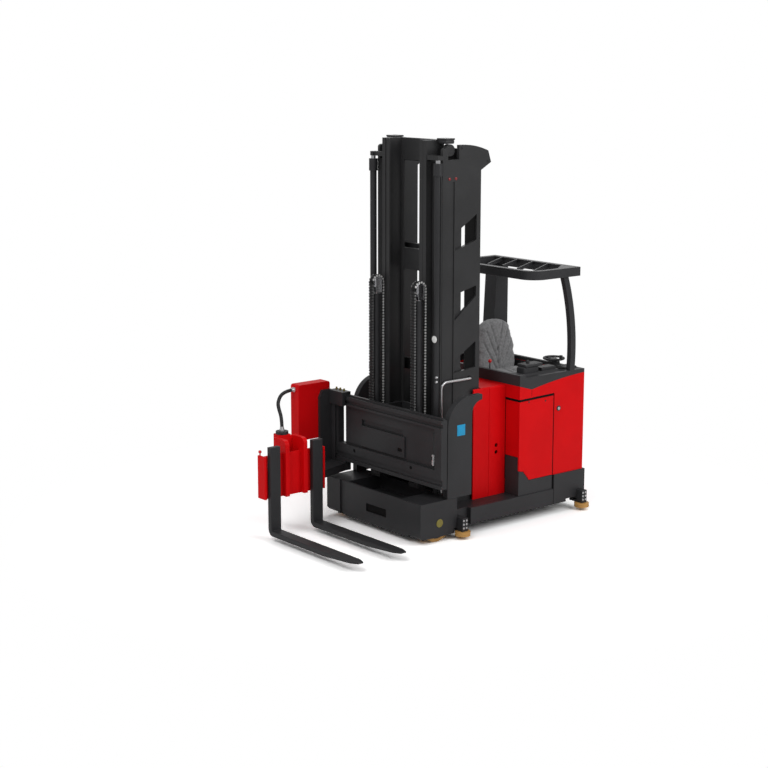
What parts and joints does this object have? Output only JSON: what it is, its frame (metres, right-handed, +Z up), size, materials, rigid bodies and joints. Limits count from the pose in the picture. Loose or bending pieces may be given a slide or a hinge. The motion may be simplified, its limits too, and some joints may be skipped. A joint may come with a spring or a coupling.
{
  "type": "man-down turret truck for very narrow aisles",
  "caption": "Electric very narrow aisle truck with a telescopic mast, a traversing rotating fork head, a low side-facing cab and aisle guide rollers.",
  "frame": {"origin": "on the floor under the middle of the truck's outer box", "axes": "+Z up, -Y towards the load end, +X the way the operator and the parked forks face"},
  "size_m": [1.77, 2.892, 3.389],
  "materials": {
    "red_paint": "gloss red stoving paint",
    "black_paint": "satin charcoal powder coat",
    "mast_paint": "satin charcoal paint",
    "polyurethane": "tan cast polyurethane",
    "cast_iron": "machined casting",
    "steel": "bright steel",
    "chrome_rod": "hard chrome",
    "chain_steel": "oiled chain plates",
    "brass_cap": "passivated cap",
    "black_plastic": "grained moulding",
    "seat_fabric": "grey upholstery",
    "battery_case": "coated battery tray",
    "hose_rubber": "ribbed rubber hose"
  },
  "bodies": {
    "chassis": {"front_axle_beam": "black_paint", "load_axles": "brass_cap", "roller_brackets": "black_paint", "chassis_frame": "black_paint", "side_steps": "black_paint", "rear_skirt": "black_paint", "fenders": "black_plastic", "battery_hood": "red_paint", "battery_block": "battery_case", "cab_side_left": "red_paint", "cab_side_right": "red_paint", "cab_front_wall": "red_paint", "cab_rear_wall": "red_paint", "service_panel": "red_paint", "kick_plate": "black_plastic", "cab_floor": "black_plastic", "cowl": "black_plastic", "seat_pedestal": "black_paint", "seat_cushion": "seat_fabric", "seat_back": "seat_fabric", "steering_stand": "black_plastic", "lever_console": "black_plastic", "overhead_guard": "black_paint", "guard_post": "black_paint", "guard_column": "black_paint", "mast_outer": "mast_paint", "main_barrels": "black_paint", "lift_pipe": "steel"},
    "load_wheel_left": {"load_hub_left": "cast_iron", "load_tyre_left": "polyurethane"},
    "load_wheel_right": {"load_hub_right": "cast_iron", "load_tyre_right": "polyurethane"},
    "drive_steer": {"drive_yoke": "cast_iron"},
    "drive_wheel": {"drive_hub": "cast_iron", "drive_tyre": "polyurethane"},
    "roller_front_left": {"guide_roller_front_left": "polyurethane"},
    "roller_front_right": {"guide_roller_front_right": "polyurethane"},
    "roller_rear_left": {"guide_roller_rear_left": "polyurethane"},
    "roller_rear_right": {"guide_roller_rear_right": "polyurethane"},
    "hand_wheel": {"steering_wheel": "black_plastic"},
    "middle_mast": {"mast_middle": "mast_paint", "main_rods": "chrome_rod"},
    "inner_mast": {"mast_inner": "mast_paint", "free_barrels": "black_paint"},
    "lift_rods": {"free_rods": "chrome_rod", "chain_returns": "chain_steel"},
    "carriage": {"lift_carriage": "black_paint", "traverse_frame": "black_paint", "chain_fronts": "chain_steel"},
    "traverse": {"traverse_carriage": "black_paint", "head_housing": "red_paint", "hydraulic_hose": "hose_rubber"},
    "turret": {"turret_rotor": "red_paint", "fork_carriage": "red_paint", "forks": "black_paint"}
  },
  "joints": [
    {"name": "load_wheel_left_spin", "type": "hinge", "parent": "chassis", "child": "load_wheel_left", "pos_m": [-0.56, -0.31, 0.17], "axis": [1, 0, 0], "continuous": true},
    {"name": "load_wheel_right_spin", "type": "hinge", "parent": "chassis", "child": "load_wheel_right", "pos_m": [0.56, -0.31, 0.17], "axis": [1, 0, 0], "continuous": true},
    {"name": "drive_steering", "type": "hinge", "parent": "chassis", "child": "drive_steer", "pos_m": [0, 1.15, 0.18], "axis": [0, 0, 1], "range_deg": [-90, 90]},
    {"name": "drive_wheel_spin", "type": "hinge", "parent": "drive_steer", "child": "drive_wheel", "pos_m": [0, 1.15, 0.18], "axis": [1, 0, 0], "continuous": true},
    {"name": "roller_front_left_spin", "type": "hinge", "parent": "chassis", "child": "roller_front_left", "pos_m": [-0.685, -0.076, 0.048], "axis": [0, 0, 1], "continuous": true},
    {"name": "roller_front_right_spin", "type": "hinge", "parent": "chassis", "child": "roller_front_right", "pos_m": [0.685, -0.076, 0.048], "axis": [0, 0, 1], "continuous": true},
    {"name": "roller_rear_left_spin", "type": "hinge", "parent": "chassis", "child": "roller_rear_left", "pos_m": [-0.685, 1.378, 0.048], "axis": [0, 0, 1], "continuous": true},
    {"name": "roller_rear_right_spin", "type": "hinge", "parent": "chassis", "child": "roller_rear_right", "pos_m": [0.685, 1.378, 0.048], "axis": [0, 0, 1], "continuous": true},
    {"name": "hand_wheel_turn", "type": "hinge", "parent": "chassis", "child": "hand_wheel", "pos_m": [0.35, 1.32, 1.362], "axis": [0, 0, 1], "continuous": true},
    {"name": "middle_mast_lift", "type": "slide", "parent": "chassis", "child": "middle_mast", "axis": [0, 0, 1], "range_m": [0, 2.25]},
    {"name": "inner_mast_lift", "type": "slide", "parent": "middle_mast", "child": "inner_mast", "axis": [0, 0, 1], "range_m": [0, 2.25]},
    {"name": "carriage_lift", "type": "slide", "parent": "inner_mast", "child": "carriage", "axis": [0, 0, 1], "range_m": [0, 2.2], "deforming": ["chain_fronts"]},
    {"name": "lift_rod_stroke", "type": "slide", "parent": "inner_mast", "child": "lift_rods", "axis": [0, 0, 1], "range_m": [0, 1.1]},
    {"name": "traverse_slide", "type": "slide", "parent": "carriage", "child": "traverse", "axis": [1, 0, 0], "range_m": [0, 0.978]},
    {"name": "turret_turn", "type": "hinge", "parent": "traverse", "child": "turret", "pos_m": [-0.489, -1.126, 0.48], "axis": [0, 0, -1], "range_deg": [0, 180]}
  ],
  "couplings": [
    {"joint": "inner_mast_lift", "follows": "middle_mast_lift", "ratio": 1},
    {"joint": "lift_rod_stroke", "follows": "carriage_lift", "ratio": 0.5}
  ]
}
